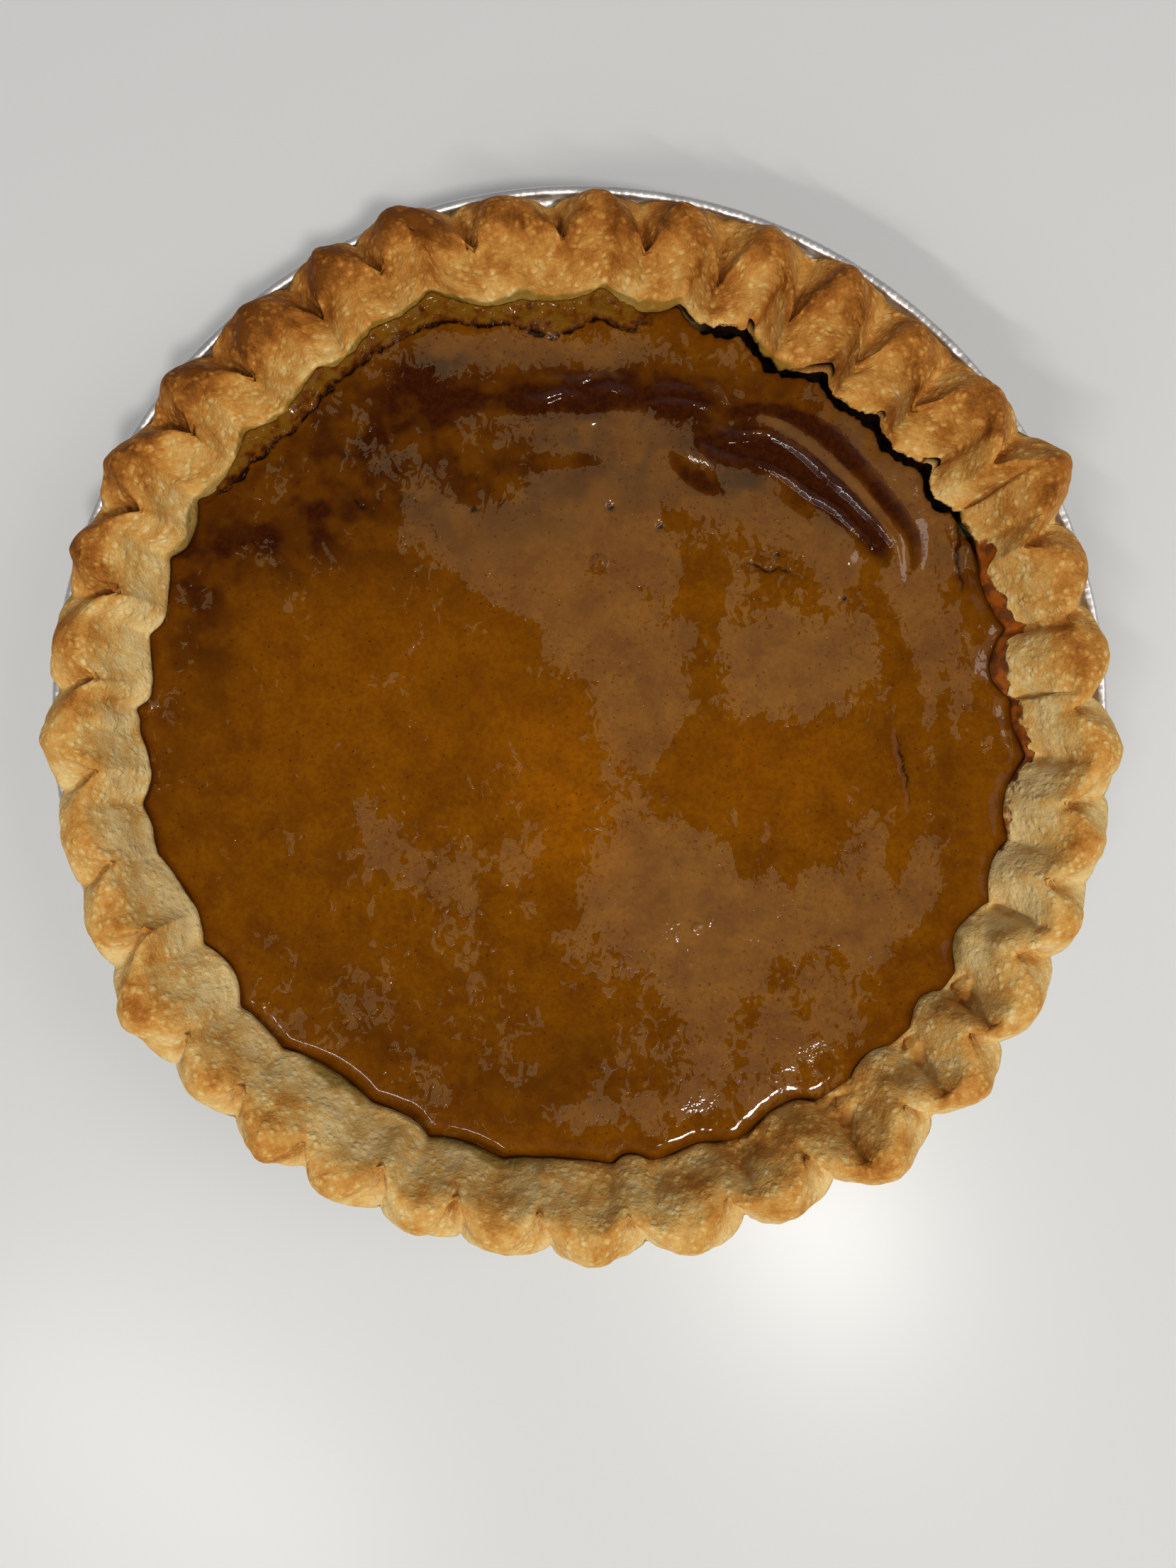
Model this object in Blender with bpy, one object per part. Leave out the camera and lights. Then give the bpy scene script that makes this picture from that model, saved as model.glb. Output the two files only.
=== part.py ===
"""Pumpkin pie, baked and still in its foil tin.

Three solids, one inside the other: the foil tin with a rolled bead round its rim, the pastry crust
that lines it and stands above it in hand-pinched flutes, and the set pumpkin filling. The origin is
the middle of the tin's flat base, +Z is up, and -Y is the pie's front. Lengths are in metres.
"""

import math

import bmesh
import bpy
import numpy as np

MM = 0.001
TAU = 2 * math.pi
GAP = 0.35 * MM  # between pieces that touch

# Foil tin, the common nine inch size
TIN_R = 111.0 * MM  # outside of the rolled bead
TIN_H = 30.0 * MM  # top of the bead
FOIL = 0.2 * MM
BASE_R = 85.7 * MM  # flat of the base
BASE_CORNER = 2.4 * MM
WALL_TOP_R = 100.8 * MM  # where the wall turns out into the flange
BEAD_R = 1.2 * MM
FLANGE_Z = TIN_H - 2 * BEAD_R  # underside of the flange
TIN_SIDES = 60

# Pastry
CRUST_SHIFT = (0.4 * MM, -3.6 * MM)  # the rim has slumped towards the front
CRUST_FLOOR = 4.0 * MM  # thickness under the filling
CRUST_FLOOR_R = 80.5 * MM  # inside of the floor
CREST_Z = 40.0 * MM  # ridge of an average flute
PINCH_DROP = 1.6 * MM  # how much lower the ridge is at a pinch
TALLER = 0.35  # how much higher a flute stands for each millimetre that it reaches further
ROLL = 6.8 * MM  # from a flute's ridge out to its edge
EDGE_Z = 33.6 * MM  # where a flute reaches furthest out
LEDGE_R = 107.4 * MM  # lip of dough left outside each pinch
LEDGE_Z = 31.4 * MM
FOOT_R = 107.8 * MM  # the dough stands on the flange inside this
FOOT_Z = TIN_H + 0.5 * MM  # and clears the bead by this height outside it
PER_FLUTE = 8  # sides round one flute

# One row for each flute, anticlockwise from the left, each pinched by hand: the angle of its bulge
# and how far it reaches, then the angle of the next pinch and the radius of the ridge there.
# Angles are in degrees and radii in millimetres, round the middle of the crust.
FLUTES = (
    (-179.0, 111.1, -174.0, 99.3),
    (-168.0, 109.7, -163.0, 99.6),
    (-158.0, 109.8, -154.0, 96.9),
    (-147.0, 112.4, -141.0, 102.4),
    (-136.5, 110.1, -132.5, 101.3),
    (-127.0, 110.8, -123.0, 102.0),
    (-118.5, 109.8, -113.5, 98.1),
    (-108.5, 109.8, -104.0, 99.6),
    (-99.5, 109.8, -94.0, 99.6),
    (-89.0, 110.7, -83.5, 99.6),
    (-77.5, 111.1, -72.0, 100.3),
    (-67.0, 109.7, -61.5, 98.8),
    (-55.0, 113.2, -48.5, 101.7),
    (-42.0, 112.2, -37.5, 101.3),
    (-32.0, 110.8, -26.5, 100.3),
    (-21.5, 110.6, -17.5, 100.3),
    (-12.5, 110.4, -8.0, 100.3),
    (-2.0, 111.1, 3.0, 101.3),
    (8.5, 109.4, 13.5, 102.4),
    (18.5, 109.4, 23.0, 97.4),
    (29.0, 114.6, 33.5, 99.6),
    (40.0, 110.4, 44.5, 92.6),
    (49.5, 108.7, 53.5, 92.4),
    (59.5, 110.4, 63.5, 92.2),
    (69.0, 110.8, 73.5, 94.2),
    (79.0, 110.7, 83.0, 98.1),
    (88.0, 110.6, 93.0, 100.1),
    (98.5, 111.0, 103.5, 100.1),
    (110.3, 113.6, 114.5, 101.3),
    (119.0, 113.0, 123.0, 97.2),
    (129.0, 111.4, 134.0, 97.4),
    (140.0, 111.7, 143.5, 99.3),
    (150.5, 112.3, 154.5, 100.0),
    (160.5, 111.0, 164.5, 98.4),
    (170.5, 110.3, 175.0, 99.8),
)

# Inside of the rim, where the pastry meets the filling
INNER_R = 92.0 * MM  # tips of the scallops, which lie at the pinches
INNER_SCALLOP = 2.4 * MM  # how far out the filling runs between two tips
NOTCH_LAG = 0.16  # share of a flute by which the notches lag behind the bulges
# Where the scallops' tips reach further in or the notches further out: the angle and spread in
# degrees, how much the tips gain and how much the notches gain, in millimetres.
INNER_UNEVEN = (
    (55.0, 22.0, -3.2, 0.6),
    (109.0, 4.0, 0.0, 3.4),
    (-55.0, 5.0, 0.0, 4.2),
    (-118.0, 12.0, -1.6, 0.0),
    (-30.0, 24.0, 0.0, 0.8),
    (97.0, 9.0, -1.4, -2.0),
    (8.0, 4.0, -2.4, 0.0),
)
# How plump the inside slope is above a tip: at 0 it leaves the filling gently and steepens, at 1 it
# swells from the start like a pillow. Angle and spread in degrees, and the change.
PLUMP = 0.6
PLUMP_UNEVEN = ((-38.0, 34.0, 0.4), (48.0, 26.0, 0.3), (-150.0, 45.0, -0.3), (125.0, 35.0, -0.25))
# How much less plump it is above a notch, which leaves a crease between two pillows.
CREASE = 0.6
CREASE_UNEVEN = ((-38.0, 40.0, 0.7), (52.0, 26.0, 0.5), (-150.0, 40.0, -0.2), (100.0, 18.0, -0.3))

# Filling
FILL_Z = 26.6 * MM  # its edge against the pastry
SHOULDER = 0.7 * MM  # the top swells this much just inside its edge
SAG = 0.9 * MM  # and sinks this much in the middle
WALL_Z = 22.0 * MM  # where the shrunken edge meets the pastry again
WALL_R = 90.4 * MM  # inside of the pastry there
# Where the filling has shrunk away from the pastry: angle, spread and width in millimetres.
SHRUNK = ((118.0, 18.0, 1.5), (93.0, 11.0, 2.6), (67.0, 12.0, 2.2), (43.0, 12.0, 1.7))

MATERIALS = {  # colour, metallic, roughness
    "pastry": ((0.62, 0.38, 0.17), 0.0, 0.65),
    "pumpkin": ((0.26, 0.095, 0.008), 0.0, 0.2),
    "foil": ((0.82, 0.82, 0.83), 1.0, 0.3),
}


def hills(angles, rows, column):
    """The sum of soft hills round the pie. Each row holds an angle, a spread and some heights."""
    total = np.zeros_like(angles)
    for row in rows:
        away = (angles - math.radians(row[0]) + math.pi) % TAU - math.pi
        total += row[column] * np.exp(-((away / math.radians(row[1])) ** 2))
    return total


class Rim:
    """The fluted rim, sampled PER_FLUTE times a flute: each value is an array round the pie."""

    def __init__(self, per_flute):
        bulge, reach, pinch, ridge = np.array(FLUTES).T
        before = np.roll(pinch, 1)
        before[0] -= 360
        phase = np.arange(per_flute) / per_flute
        turn = np.where(
            phase < 0.5,
            before[:, None] + (bulge - before)[:, None] * 2 * phase,
            bulge[:, None] + (pinch - bulge)[:, None] * (2 * phase - 1),
        )
        self.angle = np.radians(turn).ravel()
        phases = np.tile(phase, len(FLUTES))
        self.out = np.sin(np.pi * phases)  # 0 at a pinch, 1 at a bulge
        lagging = phases - NOTCH_LAG
        self.notch = 1 - np.abs(np.cos(np.pi * lagging))  # 1 in a notch of the filling's edge
        self.reach = np.repeat(reach, per_flute) * MM
        earlier = np.roll(ridge, 1)[:, None]
        self.pinch = (earlier + (ridge[:, None] - earlier) * phase).ravel() * MM

    def crest(self):
        """Radius and height of the ridge, which is higher on a flute that reaches further."""
        radius = self.pinch + (self.reach - ROLL - self.pinch) * self.out**1.3
        taller = TALLER * (self.reach - np.mean(self.reach))
        return radius, CREST_Z - PINCH_DROP + (PINCH_DROP + taller) * self.out

    def outside(self, level):
        """Radius and height of the outer face, from its widest line at 0 up to the ridge at 1."""
        crest_r, crest_z = self.crest()
        bulge_r = self.reach - ROLL * (1 - math.sqrt(1 - level**2))
        pinch_r = self.pinch + (LEDGE_R - self.pinch) * (1 - level) ** 2.2
        edge_z = LEDGE_Z + (EDGE_Z - LEDGE_Z) * self.out
        radius = pinch_r + (bulge_r - pinch_r) * self.out ** (0.8 + 0.5 * level)
        return np.maximum(radius, crest_r), edge_z + (crest_z - edge_z) * level

    def filling_line(self):
        """Radius at which the pastry meets the filling."""
        tips = INNER_R + hills(self.angle, INNER_UNEVEN, 2) * MM
        deep = INNER_SCALLOP + hills(self.angle, INNER_UNEVEN, 3) * MM
        return tips + np.maximum(deep, 0) * self.notch

    def inside(self, share):
        """Radius and height of the inside slope, from the filling at 0 up to the ridge at 1."""
        crest_r, crest_z = self.crest()
        line = self.filling_line()
        crease = CREASE + hills(self.angle, CREASE_UNEVEN, 2)
        plump = PLUMP + hills(self.angle, PLUMP_UNEVEN, 2) - crease * self.notch
        pillow = math.sin(share * math.pi / 2)
        gentle = (1 - math.cos(share * math.pi)) / 2
        rise = gentle + (pillow - gentle) * plump
        return line + (crest_r - line) * share, FILL_Z + (crest_z - FILL_Z) * rise


def add_ring(bm, angle, radius, height, centre=(0.0, 0.0)):
    """A closed ring of vertices round the pie."""
    radius = np.broadcast_to(radius, angle.shape)
    height = np.broadcast_to(height, angle.shape)
    x = centre[0] + radius * np.cos(angle)
    y = centre[1] + radius * np.sin(angle)
    return [bm.verts.new(point) for point in zip(x, y, height)]


def join_rings(bm, lower, upper):
    """Faces between two rings. The second may have as many vertices as the first, half or twice."""
    if len(lower) < len(upper):
        for face in join_rings(bm, upper, lower):
            face.normal_flip()
        return
    step = len(lower) // len(upper)
    faces = []
    for i in range(len(upper)):
        here, there = upper[i], upper[(i + 1) % len(upper)]
        a = lower[step * i]
        c = lower[(step * (i + 1)) % len(lower)]
        if step == 1:
            faces.append(bm.faces.new((a, c, there, here)))
            continue
        b = lower[step * i + 1]
        faces.append(bm.faces.new((a, b, here)))
        faces.append(bm.faces.new((b, there, here)))
        faces.append(bm.faces.new((b, c, there)))
    return faces


def close_ring(bm, ring, height, centre=(0.0, 0.0)):
    """A fan from a ring to its middle."""
    middle = bm.verts.new((*centre, height))
    for i, vertex in enumerate(ring):
        bm.faces.new((vertex, ring[(i + 1) % len(ring)], middle))


def stack(bm, rings, first_z, last_z):
    """Joins a list of rings into one closed body, with a fan over its first and last ring."""
    for lower, upper in zip(rings, rings[1:]):
        join_rings(bm, lower, upper)
    close_ring(bm, rings[0], first_z)
    close_ring(bm, rings[-1], last_z)
    bmesh.ops.recalc_face_normals(bm, faces=bm.faces)


def material(name):
    """A plain Principled material."""
    made = bpy.data.materials.new(name)
    made.use_nodes = True
    shader = made.node_tree.nodes["Principled BSDF"]
    colour, metallic, roughness = MATERIALS[name]
    shader.inputs["Base Color"].default_value = (*colour, 1.0)
    shader.inputs["Metallic"].default_value = metallic
    shader.inputs["Roughness"].default_value = roughness
    return made


def add_object(name, bm, material_name, sharp_deg=35):
    """Turns a bmesh into a named, smooth-shaded object."""
    mesh = bpy.data.meshes.new(name)
    bm.to_mesh(mesh)
    bm.free()
    mesh.shade_smooth()
    mesh.set_sharp_from_angle(angle=math.radians(sharp_deg))
    mesh.materials.append(material(material_name))
    made = bpy.data.objects.new(name, mesh)
    bpy.context.scene.collection.objects.link(made)
    return made


def tin_profile():
    """The foil's outline as (radius, height), from under the base round the bead to its top side."""
    under = [(BASE_R, 0.0), (BASE_R + BASE_CORNER, BASE_CORNER)]
    under.append((WALL_TOP_R, FLANGE_Z - BEAD_R))
    under.append((WALL_TOP_R + BEAD_R, FLANGE_Z))
    bead_r, bead_z = TIN_R - BEAD_R, TIN_H - BEAD_R
    turns = [math.radians(a) for a in (-125, -65, 0, 50, 90, 140)]
    bead = [(bead_r + BEAD_R * math.cos(a), bead_z + BEAD_R * math.sin(a)) for a in turns]
    upper = [(bead_r - BEAD_R, FLANGE_Z + FOIL), (WALL_TOP_R + BEAD_R, FLANGE_Z + FOIL)]
    upper.append((WALL_TOP_R - FOIL, FLANGE_Z - BEAD_R + FOIL))
    upper.append((BASE_R + BASE_CORNER - FOIL, BASE_CORNER + FOIL))
    upper.append((BASE_R - FOIL, FOIL))
    return under + bead + upper


def tin_wall_radius(height):
    """Radius of the tin's inside at a height on its sloping wall."""
    low, high = BASE_CORNER, FLANGE_Z - BEAD_R
    share = (height - low) / (high - low)
    return BASE_R + BASE_CORNER + (WALL_TOP_R - BASE_R - BASE_CORNER) * share - FOIL


def make_tin():
    """The foil tin, turned from its profile."""
    bm = bmesh.new()
    angle = np.arange(TIN_SIDES) * TAU / TIN_SIDES
    rings = [add_ring(bm, angle, radius, height) for radius, height in tin_profile()]
    stack(bm, rings, 0.0, FOIL)
    return add_object("foil_tin", bm, "foil")


def make_crust(rim):
    """The pastry shell: floor, wall and fluted rim."""
    bm = bmesh.new()
    centre = CRUST_SHIFT
    half = rim.angle[::2]
    floor_top = FOIL + GAP + CRUST_FLOOR
    rings = [
        add_ring(bm, half, CRUST_FLOOR_R, floor_top),
        add_ring(bm, half, WALL_R, WALL_Z, centre),
    ]
    for share in (0.0, 0.25, 0.5, 0.78):
        rings.append(add_ring(bm, rim.angle, *rim.inside(share), centre))
    rings.append(add_ring(bm, rim.angle, *rim.crest(), centre))
    for level in (0.8, 0.4, 0.0):
        rings.append(add_ring(bm, rim.angle, *rim.outside(level), centre))
    rings += underside(bm, rim, half)
    stack(bm, rings, floor_top, FOIL + GAP)
    return add_object("pastry_crust", bm, "pastry", sharp_deg=60)


def underside(bm, rim, half):
    """Rings of the pastry's lower side: over the bead, on the flange, down the wall."""
    edge = rim.outside(0.0)[0][::2]
    lean = edge + CRUST_SHIFT[0] * np.cos(half) + CRUST_SHIFT[1] * np.sin(half)
    foot = np.minimum(FOOT_R, lean - 0.6 * MM)
    flange = FLANGE_Z + FOIL + GAP
    wall_low = FOIL + GAP + BASE_CORNER
    return [
        add_ring(bm, half, foot, FOOT_Z),
        add_ring(bm, half, np.minimum(foot, FOOT_R - 0.4 * MM), flange),
        add_ring(bm, half, WALL_TOP_R + BEAD_R - FOIL - GAP, flange),
        add_ring(bm, half, tin_wall_radius(FLANGE_Z - BEAD_R) - GAP, FLANGE_Z - BEAD_R),
        add_ring(bm, half, tin_wall_radius(wall_low) - GAP, wall_low),
        add_ring(bm, half, BASE_R - FOIL - GAP, FOIL + GAP),
    ]


def make_filling(rim):
    """The set custard, down to the crust's floor, with its swollen shoulder and sunken middle."""
    bm = bmesh.new()
    centre = CRUST_SHIFT
    half, quarter = rim.angle[::2], rim.angle[::4]
    bottom = FOIL + 2 * GAP + CRUST_FLOOR
    edge = rim.filling_line() - GAP - hills(rim.angle, SHRUNK, 2) * MM
    rings = [
        add_ring(bm, quarter, CRUST_FLOOR_R - 2 * GAP, bottom),
        add_ring(bm, half, WALL_R - GAP, WALL_Z, centre),
        add_ring(bm, rim.angle, edge, FILL_Z, centre),
        add_ring(bm, half, edge[::2] - 3.2 * MM, FILL_Z + SHOULDER, centre),
        add_ring(bm, quarter, 0.85 * INNER_R, FILL_Z + 0.8 * SHOULDER, centre),
        add_ring(bm, quarter, 0.55 * INNER_R, FILL_Z - 0.4 * SAG, centre),
    ]
    stack(bm, rings, bottom, FILL_Z - SAG)
    return add_object("pumpkin_filling", bm, "pumpkin")


def main():
    """Clears the scene and builds the pie."""
    for old in list(bpy.data.objects):
        bpy.data.objects.remove(old)
    rim = Rim(PER_FLUTE)
    make_tin()
    make_crust(rim)
    make_filling(rim)


main()
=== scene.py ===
"""The looks of a whole pumpkin pie in its foil tin, seen from straight above as it cools on a table.

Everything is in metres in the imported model's frame: the origin is the middle of the tin's base, +Z
is up and -Y is the front. The crust, the filling and the tin are made again here as fine meshes with
the same outlines as their solids, and they take the solids' places.
"""

import math

import bpy
import numpy as np
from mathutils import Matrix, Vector, noise


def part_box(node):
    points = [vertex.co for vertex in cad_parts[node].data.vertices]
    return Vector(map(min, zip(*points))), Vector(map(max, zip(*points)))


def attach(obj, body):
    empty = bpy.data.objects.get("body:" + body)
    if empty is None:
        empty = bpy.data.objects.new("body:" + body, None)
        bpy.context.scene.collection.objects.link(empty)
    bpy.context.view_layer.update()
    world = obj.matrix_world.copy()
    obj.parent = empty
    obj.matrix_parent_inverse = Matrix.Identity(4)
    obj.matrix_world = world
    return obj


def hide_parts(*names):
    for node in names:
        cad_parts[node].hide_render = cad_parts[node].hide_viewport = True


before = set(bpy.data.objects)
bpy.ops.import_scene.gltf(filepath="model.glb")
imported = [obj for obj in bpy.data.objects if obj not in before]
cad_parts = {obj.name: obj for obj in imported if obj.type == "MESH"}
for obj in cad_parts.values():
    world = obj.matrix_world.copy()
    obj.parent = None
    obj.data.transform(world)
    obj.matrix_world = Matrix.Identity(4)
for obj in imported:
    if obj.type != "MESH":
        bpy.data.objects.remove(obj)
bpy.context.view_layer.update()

MM = 0.001
TAU = 2 * math.pi

# The tin, from the frame
TIN_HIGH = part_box("foil_tin")[1]
TIN_R = TIN_HIGH[0]
TIN_H = TIN_HIGH[2]
FOIL = 0.2 * MM
BASE_R = 0.772 * TIN_R
BASE_CORNER = 2.4 * MM
WALL_TOP_R = 0.908 * TIN_R
BEAD_R = 1.2 * MM
FLANGE_Z = TIN_H - 2 * BEAD_R

# The crust, as in its solid
CRUST_SHIFT = (0.4 * MM, -3.6 * MM)
CREST_Z = 40.0 * MM
PINCH_DROP = 1.6 * MM
TALLER = 0.35
ROLL = 6.8 * MM
EDGE_Z = 33.6 * MM
LEDGE_R = 107.4 * MM
LEDGE_Z = 31.4 * MM
FOOT_R = 107.8 * MM
INNER_R = 92.0 * MM
WALL_LIMIT = 97.4 * MM
FOOT_Z = TIN_H + 0.5 * MM
FLOOR_TOP = 4.55 * MM
FLOOR_R = 80.5 * MM
WALL_Z = 22.0 * MM
WALL_R = 90.4 * MM

# One row for each flute, anticlockwise from the left: the angle of its bulge and how far it reaches,
# then the angle of the next pinch, the radius of the ridge there and how far the dough reaches there.
# Degrees and millimetres.
FLUTES = (
    (-179, 111.1, -174, 99.3, 108), (-168, 109.7, -163, 99.6, 108.1),
    (-158, 109.8, -154, 96.9, 108.4), (-147, 112.4, -141, 102.4, 109),
    (-136.5, 110.1, -132.5, 101.3, 108.1), (-127, 110.8, -123, 102, 107.9),
    (-118.5, 109.8, -113.5, 98.1, 107.6), (-108.5, 109.8, -104, 99.6, 107.4),
    (-99.5, 109.8, -94, 99.6, 107.1), (-89, 110.7, -83.5, 99.6, 106.9),
    (-77.5, 111.1, -72, 100.3, 106), (-67, 109.7, -61.5, 98.8, 106.1),
    (-55, 113.2, -48.5, 101.7, 108.1), (-42, 112.2, -37.5, 101.3, 108.1),
    (-32, 110.8, -26.5, 100.3, 107.9), (-21.5, 110.6, -17.5, 100.3, 109.8),
    (-12.5, 110.4, -8, 100.3, 109.4), (-2, 111.1, 3, 101.3, 105.7),
    (8.5, 109.4, 13.5, 102.4, 106.9), (18.5, 109.4, 23, 97.4, 106.9),
    (29, 114.6, 33.5, 99.6, 110), (40, 110.4, 44.5, 92.6, 109.2),
    (49.5, 108.7, 53.5, 92.4, 109.3), (59.5, 110.4, 63.5, 92.2, 109),
    (69, 110.8, 73.5, 94.2, 110.5), (79, 110.7, 83, 98.1, 109.5),
    (88, 110.6, 93, 100.1, 108.5), (98.5, 111, 103.5, 100.1, 110.3),
    (110.3, 113.6, 114.5, 101.3, 110.3), (119, 113, 123, 97.2, 110),
    (129, 111.4, 134, 97.4, 109.7), (140, 111.7, 143.5, 99.3, 109.9),
    (150.5, 112.3, 154.5, 100, 109.9), (160.5, 111, 164.5, 98.4, 109.4),
    (170.5, 110.3, 175, 99.8, 108.7),
)

# Where the crust meets the filling, in degrees and millimetres: a notch, the tip of the next lobe of
# pastry, the next notch and so on, anticlockwise from the left.
SHORE = (
    (-180, 94), (-174.5, 92), (-170.5, 94.7), (-167, 93.6), (-163.8, 94.1), (-155, 90.6),
    (-150.6, 92.8), (-145.5, 90.4), (-141.1, 93.7), (-137, 92.8), (-133.2, 93.3), (-125, 90),
    (-119.5, 91.5), (-114, 90.4), (-110.6, 93), (-106, 91.3), (-100.5, 93.1), (-92, 91.7),
    (-86, 93.4), (-83.8, 91.5), (-80.5, 94.2), (-74, 91.9), (-69.5, 94.6), (-61, 90.8),
    (-55.4, 98.6), (-49, 92.2), (-43.8, 97.4), (-38.5, 91.9), (-34.4, 98), (-28, 90.9),
    (-22.8, 94.6), (-17.5, 92), (-14.4, 93.9), (-9, 91.4), (-3.2, 94.8), (3, 91.6),
    (4.2, 92), (8, 88), (13.5, 92.9), (19.5, 90.9), (25.6, 92.9), (28, 92.4),
    (30, 93.6), (33.8, 89.6), (37, 94.2), (43, 89.4), (46.4, 92.1), (52.6, 89.2),
    (55.6, 93), (61.5, 88.1), (67.6, 92.9), (73.6, 90.1), (77, 93.9), (82, 90),
    (87.2, 93.4), (93.5, 90.4), (98, 91.6), (101, 91.2), (109, 98), (114.5, 95),
    (117.5, 95.4), (123.5, 92.6), (126, 94.8), (133.6, 91.8), (138.4, 94.7), (144.4, 92),
    (149, 95.6), (154, 92.4), (157.2, 95.1), (164.6, 92.1), (167.4, 94.6), (175, 91.9),
    (177.2, 95.2), (178.8, 94),
)
# The ragged edge of the strip of filling that stayed on the crust where the rest tore away.
TEAR = (
    (75, 91.5), (77, 89.6), (79, 87.6), (81.5, 85.8), (84, 85.1), (87, 87.4), (88.4, 87.7), (90.5, 85.2),
    (93.5, 83.8), (97, 85.3), (100, 87), (105, 89), (109, 92.4), (112, 92), (115, 91.4),
    (119, 91.5), (123, 90.5), (127, 90.4), (130, 89.5), (134, 88.6), (137, 89.3), (140, 89.8),
    (143, 90.3), (146, 91.5), (149, 93.5),
)
# Where the filling has pulled away under the crust's torn edge, and where it tore and left a strip
# behind: the first and last angle and the softness of their ends, in degrees.
GAP_SPAN = (26, 76, 4)
TORN_SPAN = (82, 147, 4)

# Much of what follows changes softly round the pie: each row of such a list holds an angle and a
# spread, in degrees, and how much is added there.

# How plump the inside slope is, 0 a gentle S and 1 a pillow, and how much flatter it is at a notch
PLUMP = 0.75
PLUMP_UNEVEN = ((-38, 34, 0.35), (50, 24, -0.6), (-150, 45, -0.25), (125, 35, -0.3))
CREASE = 0.35
CREASE_UNEVEN = ((-38, 30, 1.1), (52, 26, 0.6), (-8, 12, 0.4), (-118, 38, -0.25))

# The folds that run in from the pinches: how far they lean along the rim, their width and depth, how
# far down the inside slope they start, and where they are softer.
FOLD_SHIFT = 2.8 * MM
FOLD_LEAN = 5.0 * MM
FOLD_WIDTH = 0.85 * MM
FOLD_DEPTH = 1.5 * MM
FOLD_START = 0.75
FOLD_SOFT = ((50, 38, 0.6), (118, 14, 0.3), (-80, 14, 0.4))
# The same for the creases that run up from the notches.
CREASE_LEAN = -1.6 * MM
CREASE_WIDTH = 1.0 * MM
CREASE_DEPTH = 1.5 * MM
CREASE_SOFT = ((-118, 38, 0.75),)

# The baked dough's unevenness: the height and the grain, in millimetres, the octaves and the seed.
DOUGH_RELIEF = ((0.75, 9, 2, 1), (0.26, 3.6, 2, 2), (0.09, 1.4, 1, 3))
# The wall under the torn edge: depths below the filling's level, in millimetres, and how far back.
UNDERCUT_DEPTHS = (3.4, 2.4, 1.5, 0.8)
UNDERCUT = 2.4 * MM

# How much browner the crust is than elsewhere, how much darker its outer faces are at the upper left,
# which is painted shade, and how much browner its inner faces are.
BROWNED = (
    (55, 38, 0.22), (122, 30, 0.26), (90, 14, 0.08),
    (-95, 75, -0.17), (180, 30, -0.10), (-15, 24, -0.20),
)
PAINTED_SHADE_OUTSIDE = ((146, 28, 0.30),)
BROWNED_IN = ((52, 36, 0.30), (128, 30, 0.16), (-60, 18, 0.45), (-92, 20, 0.16))
# Where pumpkin has soaked into the crust, which also stands as painted shade where the crust meets the
# filling, and where syrup has boiled over onto it.
STAINS_AND_SHADE = (
    (153, 5, 0.8), (128, 20, 1), (100, 16, 1), (84, 7, 1),
    (63, 4, 0.9), (-30, 4, 0.6), (-102, 9, 0.8), (-125, 5, 0.9),
)
GLAZES = ((24, 4, 0.6), (15, 6, 1), (5, 5, 0.7), (-3, 3.5, 1), (-13, 5, 0.45))

# The filling, as in its solid. It reaches a little into the crust, so that no gap shows.
FILL_Z = 26.6 * MM
SHOULDER = 0.7 * MM
SAG = 0.9 * MM
FILL_FLOOR = 4.9 * MM
FILL_TUCK = 0.45 * MM
# How far it has shrunk from the crust's torn edge, in millimetres, and how deep the gap is there.
SHRUNK = ((118, 18, 1.5), (93, 11, 2.6), (66, 14, 1), (42, 14, 0.7))
GAP_DEPTH = 4.0
# Where it dips in a trough before it meets the crust.
DIPS = ((-122, 24, 1), (-85, 14, 0.5), (-62, 10, 0.5))

# The tin's pressed shape: its pleats and the fine ribs of its bead, counted round it, their depths,
# the flange's crimp, and the raised rings in its base as shares of its radius with their heights.
PLEATS = 84
RIBS = 450
RIB_DEPTH = 0.05 * MM
CRIMP = 0.12 * MM
BASE_RINGS = (
    (0.1, 0), (0.35, 0), (0.37, 0.3), (0.4, 0.3), (0.42, 0), (0.7, 0), (0.72, 0.3), (0.75, 0.3),
    (0.77, 0), (0.97, 0), (1, 0),
)

# The thin gap between pieces that touch, as in the solids
CONTACT = 0.35 * MM

# Fineness
PER_FLUTE = 36
INSIDE_ROWS = 30
OUTSIDE_ROWS = 20
FILL_GRID = 306
TIN_COLUMNS = 1350

# A phone's main camera, level over the pie and a little nearer its front
CAMERA_AT = (1.8 * MM, -15.0 * MM, 277 * MM)
LENS = 27.05
SENSOR = 36


def hills(angles, rows):
    """The sum of soft hills round the pie; each row holds an angle, a spread and a height."""
    total = np.zeros_like(angles)
    for middle, spread, height in rows:
        away = (angles - math.radians(middle) + math.pi) % TAU - math.pi
        total += height * np.exp(-((away / math.radians(spread)) ** 2))
    return total


def noise_at(points, size, octaves=3, seed=0):
    """Soft noise, about -1 to 1, at each row of an array of points; size is its grain."""
    shift = Vector((seed, 2.3 * seed, 3.7 * seed))
    flat = (np.asarray(points) / size).reshape(-1, 3).tolist()
    values = [noise.fractal(Vector(p) + shift, 1.0, 2.0, octaves) for p in flat]
    return np.array(values).reshape(np.shape(points)[:-1])


def smooth(low, high, value):
    """0 below low, 1 above high, and a soft step between."""
    t = np.clip((value - low) / (high - low), 0, 1)
    return t * t * (3 - 2 * t)


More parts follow.
